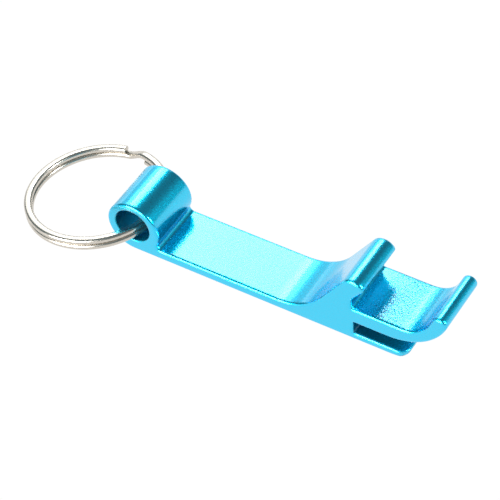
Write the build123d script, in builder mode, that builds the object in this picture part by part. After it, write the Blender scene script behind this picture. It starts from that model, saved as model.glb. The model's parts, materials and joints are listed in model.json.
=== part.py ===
from build123d import *
from math import atan2, cos, degrees, isclose, radians, sin, sqrt, tan
import os

# Keychain bottle opener: one extruded aluminium body with a two-turn steel split ring.
#
# Millimetres, +Z up. The origin is the middle of the flat underside. +X runs from the ring's tube
# towards the lip, and Y is across the extrusion.

# Extrusion
WIDTH = 10.9                # across the flat side faces
TUBE_X = -24.0              # the tube's axis, from the middle of the underside
EDGE_ROUNDING = 0.4         # tumbled edges all round both side faces
INNER_ROUNDING = 0.12       # edges of the bore, which the tumbling hardly reaches

# Tube that holds the ring. Its outside rests on the same plane as the underside.
TUBE_RADIUS = 4.95
BORE_RADIUS = 3.3
BORE_HEIGHT = 5.45          # the bore sits high in the tube, so its lower wall is the thickest
TUBE_ROOT_RADIUS = 0.8      # hollow where the tube meets the handle

# All lengths below run from the tube's axis and up from the underside.
HANDLE_THICKNESS = 1.9

# Claw: the handle's top sweeps up a hollow, then straight, and over a round top to the tip
SCOOP_RADIUS = 10.5
CLAW_SLOPE = 55.0
CLAW_TOP = (41.7, 11.15)
CLAW_TOP_RADIUS = 2.2
CLAW_TIP_RADIUS = 0.3

# Mouth under the claw, where a bottle cap's rim goes
MOUTH_WALL = 41.4
MOUTH_CENTRE_HEIGHT = 8.25
MOUTH_RADIUS = 2.35
MOUTH_SLOPE = 50.0
MOUTH_CORNER_RADIUS = 0.5

# Front plate, which curves up into the lip
FRONT_TOP = 6.95
FRONT_UNDERSIDE = 3.9
LIP_CENTRE = (57.0, 11.35)
LIP_RADIUS = 1.25
LIP_SLOPE = 66.0
LIP_INSIDE_RADIUS = 5.25
LIP_OUTSIDE_RADIUS = 11.0

# Slot for a can's tab, with a thin tongue below it
SLOT_END = 41.75
SLOT_END_RADIUS = 0.5
SLOT_ROOF_RADIUS = 0.15
TONGUE_THICKNESS = 1.38
TONGUE_BEVEL_START = 49.2
TONGUE_BEVEL_DROP = 0.2
TONGUE_RISE_START = 48.2
TONGUE_RISE = 0.5
TONGUE_TIP = 51.3
TONGUE_TIP_RADIUS = 0.3
TONGUE_CORNER_RADIUS = 2.0  # seen from above

# Split ring: one flattened wire wound twice, with a step from the lower turn to the upper one
RING_OUTSIDE_DIAMETER = 25.0
WIRE_WIDTH = 1.45           # measured along the ring's radius
WIRE_HEIGHT = 1.04
WIRE_ROUNDING = 0.46
TURN_PITCH = 1.12           # one turn's middle to the next, which leaves a hair of air between
STEP_MIDDLE = 87.5          # degrees round the ring from its side in the tube
STEP_HALF_ANGLE = 8.5
WIRE_END_GAP = 1.5          # degrees between a cut end and the step

# Where the ring lies: its near side on the bore's lower wall, its far side on the table
RING_X = -11.0              # the ring's middle, from the tube's axis
RING_HEIGHT = 2.5
RING_DROOP = 6.0            # degrees down towards the far side
RING_LEAN = 1.0             # degrees, towards +Y


def on_circle(centre, radius, angle):
    """The point on a circle at an angle in degrees from +X."""
    return (centre[0] + radius * cos(radians(angle)), centre[1] + radius * sin(radians(angle)))


def meeting_of_line_and_circle(point, slope, centre, radius):
    """Where a line going up from point at a slope in degrees leaves a circle."""
    run = (cos(radians(slope)), sin(radians(slope)))
    offset = (point[0] - centre[0], point[1] - centre[1])
    along = run[0] * offset[0] + run[1] * offset[1]
    apart = offset[0] ** 2 + offset[1] ** 2 - radius ** 2
    step = -along + sqrt(along ** 2 - apart)
    return (point[0] + step * run[0], point[1] + step * run[1])


# Points of the body's outline, worked out from the dimensions above
claw_start = on_circle(CLAW_TOP, CLAW_TOP_RADIUS, 90 + CLAW_SLOPE)
scoop_end_height = HANDLE_THICKNESS + SCOOP_RADIUS * (1 - cos(radians(CLAW_SLOPE)))
scoop_end_x = claw_start[0] - (claw_start[1] - scoop_end_height) / tan(radians(CLAW_SLOPE))
scoop_centre = (scoop_end_x - SCOOP_RADIUS * sin(radians(CLAW_SLOPE)), HANDLE_THICKNESS + SCOOP_RADIUS)

mouth_centre = (MOUTH_WALL + MOUTH_RADIUS, MOUTH_CENTRE_HEIGHT)
mouth_end = on_circle(mouth_centre, MOUTH_RADIUS, 90 + MOUTH_SLOPE)
claw_tip = meeting_of_line_and_circle(mouth_end, MOUTH_SLOPE, CLAW_TOP, CLAW_TOP_RADIUS)
claw_tip_angle = degrees(atan2(claw_tip[1] - CLAW_TOP[1], claw_tip[0] - CLAW_TOP[0]))

lip_start = on_circle(LIP_CENTRE, LIP_RADIUS, 90 + LIP_SLOPE)
lip_hollow_height = FRONT_TOP + LIP_INSIDE_RADIUS * (1 - cos(radians(LIP_SLOPE)))
lip_hollow_x = lip_start[0] - (lip_start[1] - lip_hollow_height) / tan(radians(LIP_SLOPE))
lip_hollow_centre = (
    lip_hollow_x - LIP_INSIDE_RADIUS * sin(radians(LIP_SLOPE)),
    FRONT_TOP + LIP_INSIDE_RADIUS,
)
lip_outside_drop = LIP_OUTSIDE_RADIUS - (LIP_CENTRE[1] - FRONT_UNDERSIDE)
lip_outside_centre = (
    LIP_CENTRE[0] - sqrt((LIP_OUTSIDE_RADIUS - LIP_RADIUS) ** 2 - lip_outside_drop ** 2),
    FRONT_UNDERSIDE + LIP_OUTSIDE_RADIUS,
)
lip_outside_angle = degrees(
    atan2(LIP_CENTRE[1] - lip_outside_centre[1], LIP_CENTRE[0] - lip_outside_centre[0])
)

# The tube's side meets the handle through a hollow tangent to both
root_height = HANDLE_THICKNESS + TUBE_ROOT_RADIUS
root_reach = TUBE_RADIUS + TUBE_ROOT_RADIUS
root_centre = (sqrt(root_reach ** 2 - (TUBE_RADIUS - root_height) ** 2), root_height)
root_angle = degrees(atan2(root_height - TUBE_RADIUS, root_centre[0]))

mouth_corner = (MOUTH_WALL, FRONT_TOP)
slot_roof_corner = (SLOT_END, FRONT_UNDERSIDE)
slot_floor_corner = (SLOT_END, TONGUE_THICKNESS)
tongue_bevel = (TONGUE_BEVEL_START, TONGUE_THICKNESS)
tongue_top_corner = (TONGUE_TIP, TONGUE_THICKNESS - TONGUE_BEVEL_DROP)
tongue_low_corner = (TONGUE_TIP, TONGUE_RISE)
rounded_corners = [
    (claw_tip, CLAW_TIP_RADIUS),
    (mouth_corner, MOUTH_CORNER_RADIUS),
    (slot_roof_corner, SLOT_ROOF_RADIUS),
    (slot_floor_corner, SLOT_END_RADIUS),
    (tongue_top_corner, TONGUE_TIP_RADIUS),
    (tongue_low_corner, TONGUE_TIP_RADIUS),
]

side_plane = Plane(origin=(TUBE_X, 0, 0), x_dir=(1, 0, 0), z_dir=(0, -1, 0))

with BuildPart() as opener_body:
    with BuildSketch(side_plane) as profile:
        with BuildLine():
            CenterArc((0, TUBE_RADIUS), TUBE_RADIUS, -90, root_angle - 270)
            root = CenterArc(root_centre, TUBE_ROOT_RADIUS, 180 + root_angle, 90 - root_angle)
            Line(root @ 1, (scoop_centre[0], HANDLE_THICKNESS))
            CenterArc(scoop_centre, SCOOP_RADIUS, -90, CLAW_SLOPE)
            Line((scoop_end_x, scoop_end_height), claw_start)
            CenterArc(CLAW_TOP, CLAW_TOP_RADIUS, 90 + CLAW_SLOPE, claw_tip_angle - 90 - CLAW_SLOPE)
            Line(claw_tip, mouth_end)
            CenterArc(mouth_centre, MOUTH_RADIUS, 90 + MOUTH_SLOPE, 90 - MOUTH_SLOPE)
            Line((MOUTH_WALL, MOUTH_CENTRE_HEIGHT), mouth_corner)
            Line(mouth_corner, (lip_hollow_centre[0], FRONT_TOP))
            CenterArc(lip_hollow_centre, LIP_INSIDE_RADIUS, -90, LIP_SLOPE)
            Line((lip_hollow_x, lip_hollow_height), lip_start)
            CenterArc(LIP_CENTRE, LIP_RADIUS, 90 + LIP_SLOPE, lip_outside_angle - 90 - LIP_SLOPE)
            CenterArc(lip_outside_centre, LIP_OUTSIDE_RADIUS, lip_outside_angle, -90 - lip_outside_angle)
            Line((lip_outside_centre[0], FRONT_UNDERSIDE), slot_roof_corner)
            Polyline(slot_roof_corner, slot_floor_corner, tongue_bevel, tongue_top_corner, tongue_low_corner)
            TangentArc((TONGUE_RISE_START, 0), tongue_low_corner, tangent=(1, 0))
            Line((TONGUE_RISE_START, 0), (0, 0))
        make_face()
        for corner, radius in rounded_corners:
            fillet(profile.vertices().sort_by_distance((*corner, 0))[0], radius)
    extrude(amount=WIDTH / 2, both=True)
    side_edges = opener_body.faces().filter_by(Axis.Y).edges()
    fillet(side_edges, EDGE_ROUNDING)
    # The tongue's two outer corners are cut round
    with BuildSketch(Plane.XY):
        with Locations((TUBE_X + TONGUE_TIP, 0)):
            Rectangle(TONGUE_CORNER_RADIUS * 2, WIDTH)
        with Locations((TUBE_X + TONGUE_TIP - TONGUE_CORNER_RADIUS * 2, 0)):
            RectangleRounded(TONGUE_CORNER_RADIUS * 4, WIDTH, TONGUE_CORNER_RADIUS, mode=Mode.SUBTRACT)
    extrude(amount=FRONT_UNDERSIDE - SLOT_ROOF_RADIUS, mode=Mode.SUBTRACT)
    with Locations(side_plane * Pos(0, BORE_HEIGHT, 0)):
        Hole(BORE_RADIUS)
    rims = opener_body.edges().filter_by(GeomType.CIRCLE)
    bore_rims = rims.filter_by(lambda rim: isclose(rim.radius, BORE_RADIUS))
    fillet(bore_rims, INNER_ROUNDING)
opener_body.part.label = "opener_body"

# The ring is drawn flat about +Z: two turns, and the step that joins them. Then it is laid in place.
turn_radius = (RING_OUTSIDE_DIAMETER - WIRE_WIDTH) / 2
turn_angle = 360 - STEP_HALF_ANGLE * 2 - WIRE_END_GAP
lower_end_angle = STEP_MIDDLE + STEP_HALF_ANGLE
upper_end_angle = STEP_MIDDLE - STEP_HALF_ANGLE
ring_plane = Plane(
    origin=(TUBE_X + RING_X, 0, RING_HEIGHT),
    x_dir=(cos(radians(RING_DROOP)), 0, sin(radians(RING_DROOP))),
    z_dir=(
        -sin(radians(RING_DROOP)) * cos(radians(RING_LEAN)),
        sin(radians(RING_LEAN)),
        cos(radians(RING_DROOP)) * cos(radians(RING_LEAN)),
    ),
)


def wire_plane(angle, height):
    """Plane across the wire at an angle round the ring, X outwards and the normal clockwise."""
    outwards = on_circle((0, 0), 1, angle)
    return Plane(
        origin=(*on_circle((0, 0), turn_radius, angle), height),
        x_dir=(*outwards, 0),
        z_dir=(outwards[1], -outwards[0], 0),
    )


lower_end = wire_plane(lower_end_angle, -TURN_PITCH / 2)
upper_end = wire_plane(upper_end_angle, TURN_PITCH / 2)

with BuildPart() as split_ring:
    for end, angle in ((lower_end, turn_angle), (upper_end, -turn_angle)):
        with BuildSketch(end):
            RectangleRounded(WIRE_WIDTH, WIRE_HEIGHT, WIRE_ROUNDING)
        revolve(axis=Axis.Z, revolution_arc=angle)
    with BuildLine() as step:
        Spline(lower_end.origin, upper_end.origin, tangents=(lower_end.z_dir, upper_end.z_dir))
    with BuildSketch(lower_end, upper_end):
        RectangleRounded(WIRE_WIDTH, WIRE_HEIGHT, WIRE_ROUNDING)
    sweep(path=step.wire(), multisection=True)
laid_ring = split_ring.part.moved(ring_plane.location)
laid_ring.label = "split_ring"

os.makedirs("parts", exist_ok=True)
export_step(opener_body.part, "parts/opener_body.step")
export_step(laid_ring, "parts/split_ring.step")
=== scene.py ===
"""Looks of the keychain bottle opener: anodised body, nickel split ring, white table and softboxes."""
import json
import math
import bmesh
import bpy
from mathutils import Matrix, Vector


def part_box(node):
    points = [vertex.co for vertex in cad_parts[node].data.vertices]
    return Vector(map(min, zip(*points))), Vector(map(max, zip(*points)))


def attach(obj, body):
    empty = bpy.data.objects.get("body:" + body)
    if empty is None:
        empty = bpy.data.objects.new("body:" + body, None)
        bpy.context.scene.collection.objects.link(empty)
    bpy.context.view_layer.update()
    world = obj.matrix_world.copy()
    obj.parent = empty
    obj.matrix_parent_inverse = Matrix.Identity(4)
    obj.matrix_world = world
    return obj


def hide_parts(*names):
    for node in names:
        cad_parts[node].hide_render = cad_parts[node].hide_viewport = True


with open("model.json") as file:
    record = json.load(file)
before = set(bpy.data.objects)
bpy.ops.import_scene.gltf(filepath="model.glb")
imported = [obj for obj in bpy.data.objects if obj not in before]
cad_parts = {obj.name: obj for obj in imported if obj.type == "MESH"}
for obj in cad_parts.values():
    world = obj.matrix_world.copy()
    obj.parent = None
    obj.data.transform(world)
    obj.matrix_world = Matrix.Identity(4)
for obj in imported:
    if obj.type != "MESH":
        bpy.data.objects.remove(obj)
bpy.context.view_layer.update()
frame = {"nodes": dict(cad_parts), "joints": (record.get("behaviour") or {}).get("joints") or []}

MM = 0.001

# Camera: its bearing round the object, its height angle, and where it looks
CAMERA_AZIMUTH = 34.02
CAMERA_ELEVATION = 46.65
CAMERA_ROLL = -4.17
CAMERA_DISTANCE = 362.4 * MM
CAMERA_LENS = 159.2
CAMERA_SENSOR = 36
CAMERA_TARGET = Vector((-4.56 * MM, 0, 4.42 * MM))
CAMERA_NEAREST = 0.01
CAMERA_FURTHEST = 20

# Places on the body that the finish depends on, in the frame's own axes
BORE_X, _, BORE_Z = frame["joints"][0]["pos_m"]
BORE_RADIUS = 3.3 * MM
SLOT_START = 17.75 * MM
SLOT_FLOOR = 1.38 * MM
SLOT_ROOF = 3.9 * MM
MASK_NEAR = 0.02 * MM
MASK_FAR = 0.10 * MM
TONGUE_FADE = 0.2 * MM

# Anodised finish: the dye on the open faces and in the marks of the grain, and painted shade inside the bore
# and slot
DYE = (0.0, 0.60, 0.89, 1)
DYE_DEEP = (0.0, 0.12, 0.24, 1)
PAINTED_SHADE_INSIDE = (0.0, 0.25, 0.40, 1)
BORE_SHARE = 0.5            # the bore gets half as much of the inside look as the slot
EDGE_COLOUR = (0.3, 0.8, 1.0, 1)
COAT_IOR = 1.62
COAT_ROUGHNESS = 0.07
ROUGHNESS = 0.22
ROUGHNESS_OF_PEBBLES = 0.14
ROUGHNESS_INSIDE = 0.25
CUT_FACE_POLISH = 0.04

# How far sideways the surface looks, from the die-drawn faces (0) to the cut side faces (1)
CUT_FACE_FROM, CUT_FACE_TO = 0.75, 0.97
EDGE_FROM, EDGE_TO = 0.08, 0.40
GRAIN_LEFT_ON_CUT_FACES = 0.06

# Grain: size of each mark, and how much each adds to the height
PEBBLE_SIZE = 0.26 * MM
VALLEY_SPACING = 0.50 * MM
VALLEY_WIDTH = 0.16
PIT_SPACING = 0.9 * MM
PIT_RIM, PIT_FLOOR = 0.22, 0.08
PIT_RARITY = (0.80, 0.84)
SCRATCH_SIZE = 0.5 * MM
SCRATCH_STRETCH = (0.12, 1.0, 1.0)
SCRATCH_RARITY = (0.70, 0.78)
SWELL_SIZE = 2.6 * MM
SWELL_HEIGHT = 0.003 * MM
GRAIN_HEIGHT = 0.022 * MM
COAT_GRAIN_HEIGHT = 0.016 * MM
PEBBLE_SHARE = 0.45
VALLEY_SHARE = 0.70
PIT_SHARE = 1.1

# Front plate, between claw and lip, where the grain is coarsest
FRONT_START = (19 * MM, 21.5 * MM)
FRONT_END = (27 * MM, 30 * MM)
FRONT_TOP = (7.5 * MM, 10 * MM)
GRAIN_SHARE = 0.26
FRONT_GRAIN_SHARE = 0.42

# How much each kind of mark darkens the dye
PIT_DARKENS = 0.6
SCRATCH_DARKENS = 0.15
VALLEY_DARKENS = 0.10
FRONT_VALLEY_DARKENS = 0.45

# Worn edges, shaded rounder than they are cut, and more so towards the top
EDGE_SOFTNESS = 0.60 * MM
HIGH_EDGE_SOFTNESS = 0.90 * MM
HIGH_EDGES = (9 * MM, 11 * MM)
EDGE_SAMPLES = 12

# Nickel plate
NICKEL_BRIGHT = (0.66, 0.62, 0.555, 1)
NICKEL_DULL = (0.54, 0.50, 0.44, 1)
NICKEL_ROUGHNESS = (0.22, 0.32)
NICKEL_BLOTCH_SIZE = 1.6 * MM
NICKEL_GRAIN_SIZE = 0.25 * MM
NICKEL_GRAIN_HEIGHT = 0.001 * MM

# Split ring, as the CAD part has it
RING_OUTSIDE = 25 * MM
RING_DROOP = 6.0
RING_LEAN = 1.0
RING_WOBBLE = 0.012 * MM
WIRE_WIDTH = 1.45 * MM
WIRE_HEIGHT = 1.04 * MM
WIRE_ROUNDING = 0.46 * MM
TURN_PITCH = 1.12 * MM
STEP_MIDDLE = 87.5
STEP_HALF_ANGLE = 8.5
WIRE_END_GAP = 1.5
# How the wire's cut ends round off: the share of the full section, and degrees in from the end
END_ROUNDING = ((0.80, 0.0), (0.90, 0.12), (0.97, 0.35))
END_INSET = 0.8
CORNER_STEPS = 6
WIRE_STEPS = 640

FLOOR_RADIUS = 1.5
FLOOR_EDGE = FLOOR_RADIUS * 1.02
FLOOR_WALL = 0.2
FLOOR_GLOW = 1.02
FLOOR_STEPS = 96

# Name, bearing, height angle, distance, width, height and radiance of each softbox
SOFTBOXES = (
    ("panel", 220, 27, 0.9, 0.95, 0.85, 0.6),
    ("key", 215, 45, 0.6, 0.20, 0.17, 5.5),
    ("key_side", 227, 36, 0.7, 0.26, 0.22, 1.6),
    ("front", -16, 24, 0.7, 0.62, 0.46, 10.0),
    ("right", 102, 31, 0.7, 0.15, 0.20, 26.0),
)
STUDIO_DARK = (0.12, 0.17, 0.19, 1)


def direction(azimuth, elevation):
    """Unit vector towards a bearing counted from -Y towards +X, and an angle above the table."""
    a, e = math.radians(azimuth), math.radians(elevation)
    return Vector((math.sin(a) * math.cos(e), -math.cos(a) * math.cos(e), math.sin(e)))


def make_camera():
    """Camera at the product photograph's viewing angle."""
    data = bpy.data.cameras.new("camera")
    data.lens = CAMERA_LENS
    data.sensor_width = CAMERA_SENSOR
    data.clip_start = CAMERA_NEAREST
    data.clip_end = CAMERA_FURTHEST
    camera = bpy.data.objects.new("camera", data)
    bpy.context.scene.collection.objects.link(camera)
    back = direction(CAMERA_AZIMUTH, CAMERA_ELEVATION)
    camera.rotation_mode = "QUATERNION"
    level = back.to_track_quat("Z", "Y").to_matrix()
    roll = Matrix.Rotation(math.radians(CAMERA_ROLL), 3, "Z")
    camera.rotation_quaternion = (level @ roll).to_quaternion()
    camera.location = CAMERA_TARGET + back * CAMERA_DISTANCE
    bpy.context.scene.camera = camera


def softbox(name, azimuth, elevation, distance, width, height, radiance):
    """Rectangular studio light that faces the object and isn't seen by the camera."""
    data = bpy.data.lights.new(name, "AREA")
    data.shape = "RECTANGLE"
    data.size = width
    data.size_y = height
    data.energy = radiance * math.pi * width * height
    light = bpy.data.objects.new(name, data)
    bpy.context.scene.collection.objects.link(light)
    towards = direction(azimuth, elevation)
    light.location = towards * distance
    light.rotation_mode = "QUATERNION"
    light.rotation_quaternion = towards.to_track_quat("Z", "Y")
    light.visible_camera = False


def new_material(name):
    """Material with an empty node tree, and helpers to add nodes to it and link them."""
    material = bpy.data.materials.new(name)
    material.use_nodes = True
    tree = material.node_tree
    tree.nodes.clear()

    def add(kind, **settings):
        node = tree.nodes.new(kind)
        for key, value in settings.items():
            if key in node.inputs:
                node.inputs[key].default_value = value
            else:
                setattr(node, key, value)
        return node

    return material, add, tree.links.new


def make_floor():
    """White table with a low white wall all round."""
    mesh = bpy.data.meshes.new("floor")
    bm = bmesh.new()
    centre = bm.verts.new((0, 0, 0))
    loops = []
    for radius, height in ((FLOOR_RADIUS, 0), (FLOOR_EDGE, FLOOR_WALL)):
        loop = []
        for i in range(FLOOR_STEPS):
            turn = math.tau * i / FLOOR_STEPS
            loop.append(bm.verts.new((radius * math.cos(turn), radius * math.sin(turn), height)))
        loops.append(loop)
    for i in range(FLOOR_STEPS):
        j = (i + 1) % FLOOR_STEPS
        bm.faces.new((centre, loops[0][i], loops[0][j]))
        bm.faces.new((loops[0][i], loops[1][i], loops[1][j], loops[0][j]))
    bm.to_mesh(mesh)
    bm.free()
    floor = bpy.data.objects.new("floor", mesh)
    bpy.context.scene.collection.objects.link(floor)
    material, add, link = new_material("table_white")
    glow = add("ShaderNodeEmission", Strength=FLOOR_GLOW)
    out = add("ShaderNodeOutputMaterial")
    link(glow.outputs[0], out.inputs[0])
    mesh.materials.append(material)


def aluminium():
    """Dyed anodised aluminium: a tinted metal under a clear oxide coat, grainy where it was tumbled."""
    material, add, link = new_material("anodised_aluminium")

    def math_node(operation, first, second=None):
        node = add("ShaderNodeMath", operation=operation)
        for socket, value in zip(node.inputs, (first, second)):
            if isinstance(value, (int, float)):
                socket.default_value = value
            elif value is not None:
                link(value, socket)
        return node.outputs[0]

    def plus(first, second):
        return math_node("ADD", first, second)

    def minus(first, second):
        return math_node("SUBTRACT", first, second)

    def times(first, second):
        return math_node("MULTIPLY", first, second)

    def ramp(value, low, high, to_low=0.0, to_high=1.0):
        node = add("ShaderNodeMapRange", interpolation_type="SMOOTHSTEP")
        for name, number in (("From Min", low), ("From Max", high), ("To Min", to_low), ("To Max", to_high)):
            node.inputs[name].default_value = number
        link(value, node.inputs["Value"])
        return node.outputs["Result"]

    place = add("ShaderNodeTexCoord")
    spot = place.outputs["Object"]
    way = add("ShaderNodeSeparateXYZ")
    link(place.outputs["Normal"], way.inputs[0])
    where = add("ShaderNodeSeparateXYZ")
    link(spot, where.inputs[0])
    x, _, z = where.outputs

    def noise(size, detail=2.0, roughness=0.5, stretch=None):
        node = add("ShaderNodeTexNoise", Scale=1 / size, Detail=detail, Roughness=roughness)
        if stretch is None:
            link(spot, node.inputs["Vector"])
        else:
            mapping = add("ShaderNodeMapping", Scale=stretch)
            link(spot, mapping.inputs["Vector"])
            link(mapping.outputs[0], node.inputs["Vector"])
        return node.outputs["Fac"]

    def cells(spacing, feature):
        node = add("ShaderNodeTexVoronoi", feature=feature, Scale=1 / spacing)
        link(spot, node.inputs["Vector"])
        return node

    # The two cut side faces and their rounded edges are smooth, and everything the die drew is grainy
    sideways = math_node("ABSOLUTE", way.outputs["Y"])
    cut_face = ramp(sideways, CUT_FACE_FROM, CUT_FACE_TO)
    drawn = minus(1.0, cut_face)
    grainy = ramp(sideways, EDGE_TO, EDGE_FROM, GRAIN_LEFT_ON_CUT_FACES, 1.0)

    # Inside the bore and the tab slot: a rougher finish, and painted shade darkening the colour. Each mask
    # fades over a tenth or two of a millimetre, just off the surface that it picks.
    across = math_node("POWER", minus(x, BORE_X), 2.0)
    upwards = math_node("POWER", minus(z, BORE_Z), 2.0)
    from_bore = math_node("POWER", plus(across, upwards), 0.5)
    in_bore = ramp(from_bore, BORE_RADIUS + MASK_FAR, BORE_RADIUS + MASK_NEAR)
    past_end = ramp(x, SLOT_START - MASK_FAR, SLOT_START)
    above_tongue = ramp(z, SLOT_FLOOR - TONGUE_FADE, SLOT_FLOOR - MASK_NEAR)
    below_roof = ramp(z, SLOT_ROOF + MASK_FAR, SLOT_ROOF + MASK_NEAR)
    in_slot = times(times(past_end, above_tongue), below_roof)
    # This mask darkens the colour as painted shade and also roughens the finish
    inside_shade_and_roughness = times(math_node("MAXIMUM", times(in_bore, BORE_SHARE), in_slot), drawn)

    # Marks: small pebbles with valleys between, rare pits and fine scratches along the length
    pebbles = noise(PEBBLE_SIZE, detail=2.0, roughness=0.6)
    valleys = ramp(cells(VALLEY_SPACING, "DISTANCE_TO_EDGE").outputs["Distance"], 0.0, VALLEY_WIDTH)
    pit_cells = cells(PIT_SPACING, "F1")
    pit_pick = add("ShaderNodeSeparateColor")
    link(pit_cells.outputs["Color"], pit_pick.inputs[0])
    rare = ramp(pit_pick.outputs[0], *PIT_RARITY)
    pits = times(ramp(pit_cells.outputs["Distance"], PIT_RIM, PIT_FLOOR), rare)
    swell = noise(SWELL_SIZE, detail=1.0)
    scratches = noise(SCRATCH_SIZE, detail=1.0, roughness=0.4, stretch=SCRATCH_STRETCH)
    scratches = ramp(scratches, *SCRATCH_RARITY)

    # Height of the grain, which is nearly gone from the cut faces and coarsest on the front plate
    front = times(ramp(x, *FRONT_START), ramp(x, *reversed(FRONT_END)))
    front = times(front, ramp(z, *reversed(FRONT_TOP)))
    height = plus(times(pebbles, PEBBLE_SHARE), times(valleys, VALLEY_SHARE))
    height = minus(height, times(pits, PIT_SHARE))
    height = times(height, plus(times(front, FRONT_GRAIN_SHARE), GRAIN_SHARE))
    height = times(height, grainy)
    soft_edge = add("ShaderNodeBevel")
    soft_edge.samples = EDGE_SAMPLES
    link(ramp(z, *HIGH_EDGES, EDGE_SOFTNESS, HIGH_EDGE_SOFTNESS), soft_edge.inputs["Radius"])
    waves = add("ShaderNodeBump", Strength=1.0, Distance=SWELL_HEIGHT)
    link(swell, waves.inputs["Height"])
    link(soft_edge.outputs[0], waves.inputs["Normal"])
    grain = add("ShaderNodeBump", Strength=1.0, Distance=GRAIN_HEIGHT)
    coat_grain = add("ShaderNodeBump", Strength=1.0, Distance=COAT_GRAIN_HEIGHT)
    for bump in (grain, coat_grain):
        link(height, bump.inputs["Height"])
        link(waves.outputs[0], bump.inputs["Normal"])

    # Colour: the dye is deeper in pits, scratches and valleys, and painted shade darkens it inside the bore
    # and slot
    valley_darkens = plus(times(front, FRONT_VALLEY_DARKENS), VALLEY_DARKENS)
    darkened = plus(times(pits, PIT_DARKENS), times(scratches, SCRATCH_DARKENS))
    darkened = plus(darkened, times(minus(1.0, valleys), valley_darkens))
    tint = add("ShaderNodeMix", data_type="RGBA")
    tint.inputs["A"].default_value = DYE
    tint.inputs["B"].default_value = DYE_DEEP
    link(math_node("MINIMUM", 1.0, times(darkened, drawn)), tint.inputs["Factor"])
    # Painted shade inside the bore and slot, mixed over the dye
    painted_inside_shade = add("ShaderNodeMix", data_type="RGBA")
    link(tint.outputs["Result"], painted_inside_shade.inputs["A"])
    painted_inside_shade.inputs["B"].default_value = PAINTED_SHADE_INSIDE
    link(inside_shade_and_roughness, painted_inside_shade.inputs["Factor"])

    shader = add("ShaderNodeBsdfPrincipled", Metallic=1.0)
    link(painted_inside_shade.outputs["Result"], shader.inputs["Base Color"])
    rough = plus(times(pebbles, ROUGHNESS_OF_PEBBLES), ROUGHNESS)
    rough = plus(rough, times(inside_shade_and_roughness, ROUGHNESS_INSIDE))
    link(minus(rough, times(cut_face, CUT_FACE_POLISH)), shader.inputs["Roughness"])
    shader.inputs["Coat Weight"].default_value = 1.0
    shader.inputs["Specular Tint"].default_value = EDGE_COLOUR
    shader.inputs["Coat IOR"].default_value = COAT_IOR
    shader.inputs["Coat Roughness"].default_value = COAT_ROUGHNESS
    link(grain.outputs[0], shader.inputs["Normal"])
    link(coat_grain.outputs[0], shader.inputs["Coat Normal"])
    out = add("ShaderNodeOutputMaterial")
    link(shader.outputs[0], out.inputs[0])
    return material


def nickel():
    """Bright nickel plate on drawn wire, with a fine grain and rubbed patches."""
    material, add, link = new_material("nickel_plate")
    place = add("ShaderNodeTexCoord")
    blotch = add("ShaderNodeTexNoise", Scale=1 / NICKEL_BLOTCH_SIZE, Detail=3.0)
    fine = add("ShaderNodeTexNoise", Scale=1 / NICKEL_GRAIN_SIZE, Detail=2.0)
    for noise in (blotch, fine):
        link(place.outputs["Object"], noise.inputs["Vector"])
    shader = add("ShaderNodeBsdfPrincipled", Metallic=1.0)
    shine = add("ShaderNodeMapRange")
    shine.inputs["To Min"].default_value, shine.inputs["To Max"].default_value = NICKEL_ROUGHNESS
    link(blotch.outputs["Fac"], shine.inputs["Value"])
    link(shine.outputs["Result"], shader.inputs["Roughness"])
    tone = add("ShaderNodeMix", data_type="RGBA")
    tone.inputs["A"].default_value = NICKEL_BRIGHT
    tone.inputs["B"].default_value = NICKEL_DULL
    link(fine.outputs["Fac"], tone.inputs["Factor"])
    link(tone.outputs["Result"], shader.inputs["Base Color"])
    bump = add("ShaderNodeBump", Strength=1.0, Distance=NICKEL_GRAIN_HEIGHT)
    link(fine.outputs["Fac"], bump.inputs["Height"])
    link(bump.outputs[0], shader.inputs["Normal"])
    out = add("ShaderNodeOutputMaterial")
    link(shader.outputs[0], out.inputs[0])
    return material


def wire_section():
    """Outline of the flattened wire, outwards and upwards from its middle."""
    section = []
    for side_x, side_z, start in ((1, 1, 0), (-1, 1, 90), (-1, -1, 180), (1, -1, 270)):
        for step in range(CORNER_STEPS + 1):
            angle = math.radians(start + 90 * step / CORNER_STEPS)
            section.append((
                side_x * (WIRE_WIDTH / 2 - WIRE_ROUNDING) + WIRE_ROUNDING * math.cos(angle),
                side_z * (WIRE_HEIGHT / 2 - WIRE_ROUNDING) + WIRE_ROUNDING * math.sin(angle),
            ))
    return section


def wire_stations():
    """Degrees round the ring from one cut end to the other, with the share of the section at each."""
    first = STEP_MIDDLE - STEP_HALF_ANGLE - WIRE_END_GAP + 360
    last = STEP_MIDDLE + STEP_HALF_ANGLE + WIRE_END_GAP - 360
    stations = [(first - inset, share) for share, inset in END_ROUNDING]
    start, stop = first - END_INSET, last + END_INSET
    for i in range(WIRE_STEPS + 1):
        stations.append((start + (stop - start) * i / WIRE_STEPS, 1.0))
    stations += [(last + inset, share) for share, inset in reversed(END_ROUNDING)]
    return stations


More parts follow.
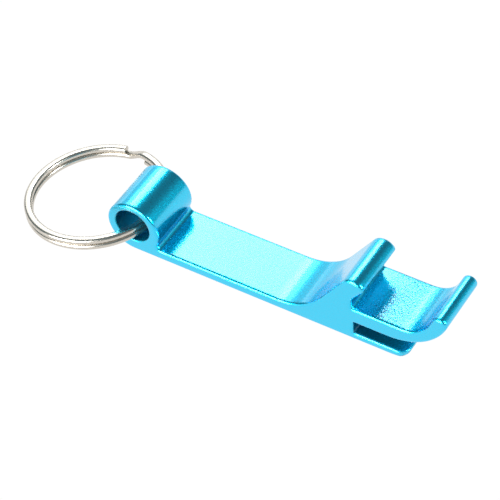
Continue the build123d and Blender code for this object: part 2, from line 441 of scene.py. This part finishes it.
def make_ring():
    """Split ring: a flattened wire swept through two turns and the step between, with worn cut ends."""
    low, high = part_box("split_ring")
    droop, lean = math.radians(RING_DROOP), math.radians(RING_LEAN)
    along = Vector((math.cos(droop), 0, math.sin(droop)))
    upright = math.cos(lean)
    up = Vector((-math.sin(droop) * upright, math.sin(lean), math.cos(droop) * upright))
    tilt = Matrix((along, up.cross(along), up)).transposed()
    centre = (low + high) / 2

    section = wire_section()
    bm = bmesh.new()
    loops = []
    for angle, share in wire_stations():
        rise = min(1, max(0, (STEP_MIDDLE + STEP_HALF_ANGLE - angle) / (2 * STEP_HALF_ANGLE)))
        height = TURN_PITCH * (rise * rise * (3 - 2 * rise) - 0.5)
        turn = math.radians(angle)
        radius = (RING_OUTSIDE - WIRE_WIDTH) / 2 + RING_WOBBLE * math.sin(2 * turn + rise)
        loop = []
        for outwards, upwards in section:
            far = radius + outwards * share
            local = Vector((far * math.cos(turn), far * math.sin(turn), height + upwards * share))
            loop.append(bm.verts.new(centre + tilt @ local))
        loops.append(loop)
    sides = len(section)
    for one, two in zip(loops, loops[1:]):
        for i in range(sides):
            j = (i + 1) % sides
            bm.faces.new((one[i], two[i], two[j], one[j]))
    bm.faces.new(loops[0])
    bm.faces.new(list(reversed(loops[-1])))
    bmesh.ops.recalc_face_normals(bm, faces=bm.faces)
    mesh = bpy.data.meshes.new("ring_wire")
    bm.to_mesh(mesh)
    bm.free()
    for face in mesh.polygons:
        face.use_smooth = len(face.vertices) == 4
    ring = bpy.data.objects.new("ring_wire", mesh)
    bpy.context.scene.collection.objects.link(ring)
    mesh.materials.append(nickel())
    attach(ring, "ring")
    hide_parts("split_ring")


def dress(node, material):
    """Give a CAD node its one material."""
    part = frame["nodes"][node]
    part.data.materials.clear()
    part.data.materials.append(material)


make_camera()
make_floor()
for softbox_settings in SOFTBOXES:
    softbox(*softbox_settings)
world = bpy.data.worlds.new("studio")
bpy.context.scene.world = world
world.use_nodes = True
world.node_tree.nodes["Background"].inputs[0].default_value = STUDIO_DARK
bpy.context.scene.view_settings.view_transform = "Standard"
dress("opener_body", aluminium())
make_ring()
